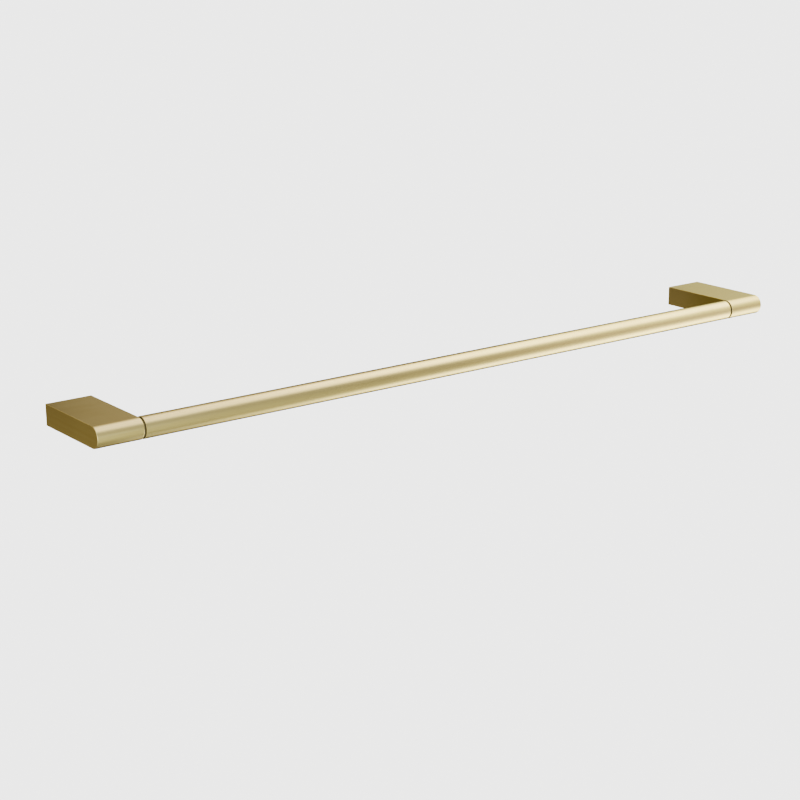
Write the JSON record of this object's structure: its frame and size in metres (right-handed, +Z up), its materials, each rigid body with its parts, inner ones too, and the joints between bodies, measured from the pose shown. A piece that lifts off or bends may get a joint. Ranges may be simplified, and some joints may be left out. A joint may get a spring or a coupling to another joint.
{
  "type": "towel rail",
  "caption": "Wall-mounted towel rail: a round brushed brass bar held between flat posts with half-round noses, fixed by wall brackets hidden inside the posts.",
  "frame": {"origin": "on the wall plane, midway between the posts, at the height of the bar's axis", "axes": "+X along the bar, +Y into the wall, +Z up; the bar stands out from the wall towards -Y"},
  "size_m": [0.646, 0.077, 0.016],
  "materials": {
    "brushed_brass": "fine brushed satin",
    "turned_brass": "turned, dull satin",
    "plated_steel": "zinc plated",
    "screw_steel": "plain stainless"
  },
  "bodies": {
    "root": {"bar_tube": "brushed_brass", "left_end_plug": "turned_brass", "right_end_plug": "turned_brass", "left_post": "brushed_brass", "right_post": "brushed_brass", "left_wall_bracket": "plated_steel", "right_wall_bracket": "plated_steel", "left_set_screw": "screw_steel", "right_set_screw": "screw_steel", "left_bar_screw": "screw_steel", "right_bar_screw": "screw_steel"}
  },
  "joints": []
}
